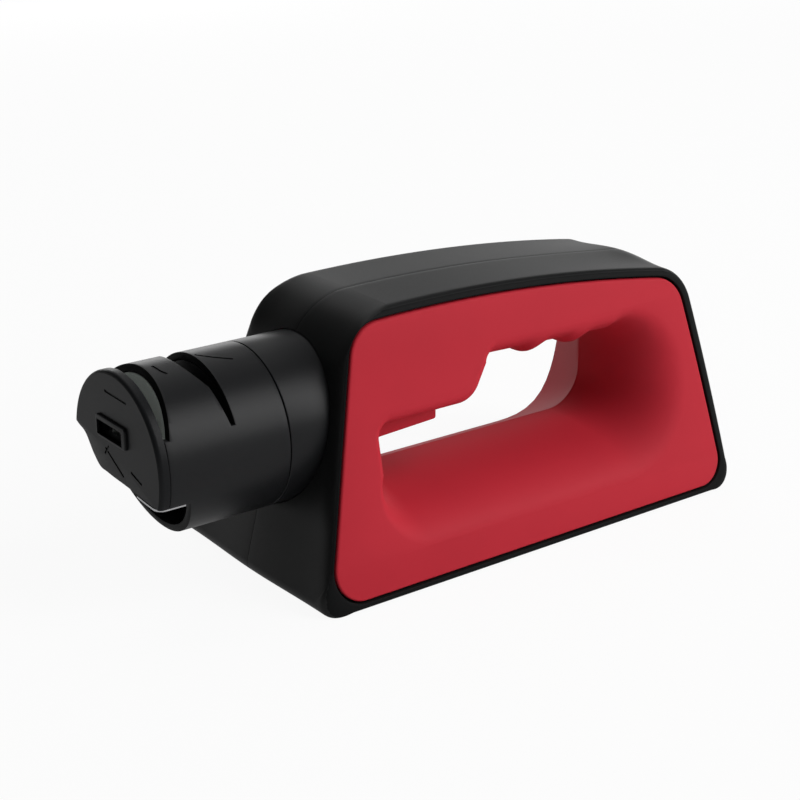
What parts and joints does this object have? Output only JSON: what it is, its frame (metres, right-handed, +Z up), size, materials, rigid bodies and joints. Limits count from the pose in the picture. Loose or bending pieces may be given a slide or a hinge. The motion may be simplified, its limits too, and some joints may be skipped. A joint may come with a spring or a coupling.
{
  "type": "electric knife sharpener",
  "caption": "Cordless hand-held electric sharpener: two-tone housing with a through handle and squeeze trigger, and a round head with knife slots, bit slot and scissor guide.",
  "frame": {"origin": "centre of the footprint, on the plane of the rubber feet", "axes": "+X along the head's axis from the head towards the body's plain end, +Y from the front grip to the rear grip, +Z up"},
  "size_m": [0.236, 0.0906, 0.0944],
  "materials": {
    "shell": "satin black moulded plastic",
    "head": "satin black moulded plastic",
    "grip": "matte red soft-touch",
    "trigger": "matte red",
    "steel": "bright",
    "zinc": "zinc plated",
    "grit": "grey abrasive grit",
    "inner_plastic": "plain moulding",
    "switch_black": "matte",
    "rubber": "matte",
    "magnet": "dull",
    "cell": "plain sleeve",
    "wire_red": "matte",
    "wire_black": "matte"
  },
  "bodies": {
    "housing": {"front_shell": "shell", "rear_shell": "shell", "front_grip": "grip", "rear_grip": "grip", "case_screw_1": "steel", "case_screw_2": "steel", "case_screw_3": "steel", "case_screw_4": "steel", "foot_front_left": "rubber", "foot_front_right": "rubber", "foot_rear_left": "rubber", "foot_rear_right": "rubber", "neck_collar": "head", "motor_can": "zinc", "motor_end_bell": "inner_plastic", "magnet_rear": "magnet", "magnet_front": "magnet", "motor_screw_front": "steel", "motor_screw_rear": "steel", "trigger_pin": "steel", "trigger_spring": "steel", "switch_bracket": "inner_plastic", "switch_body": "switch_black", "battery_box": "inner_plastic", "cell_1": "cell", "cell_2": "cell", "cell_3": "cell", "cell_4": "cell", "contact_front": "zinc", "contact_rear": "zinc", "contact_bridge": "zinc", "wire_supply": "wire_red", "wire_switched": "wire_red", "wire_return": "wire_black"},
    "head": {"guide_head": "head", "end_cap": "head", "blade_guide_left": "head", "blade_guide_right": "head", "scissor_guide": "steel"},
    "wheel": {"grinding_wheel": "grit", "wheel_hub": "inner_plastic", "shaft_nut": "steel", "motor_rotor": "steel"},
    "trigger": {"trigger": "trigger"},
    "plunger": {"switch_plunger": "inner_plastic"},
    "door": {"battery_door": "shell"}
  },
  "joints": [
    {"name": "wheel_spin", "type": "hinge", "parent": "housing", "child": "wheel", "pos_m": [-0.06, 0, 0.0545], "axis": [1, 0, 0], "continuous": true},
    {"name": "head_twist", "type": "hinge", "parent": "housing", "child": "head", "pos_m": [-0.07, 0, 0.0545], "axis": [1, 0, 0], "range_deg": [0, 20]},
    {"name": "trigger_squeeze", "type": "hinge", "parent": "housing", "child": "trigger", "pos_m": [-0.03334, 0, 0.0594], "axis": [0, -1, 0], "range_deg": [0, 8], "stiffness_Nm_per_rad": 0.2, "springref_deg": -11.46, "deforming": ["trigger_spring"]},
    {"name": "plunger_press", "type": "slide", "parent": "housing", "child": "plunger", "axis": [0, 0, 1], "range_m": [0, 0.001]},
    {"name": "door_slide", "type": "slide", "parent": "housing", "child": "door", "axis": [1, 0, 0], "range_m": [0, 0.1]}
  ],
  "couplings": [
    {"joint": "plunger_press", "follows": "trigger_squeeze", "m_per_rad": 0.0064}
  ]
}
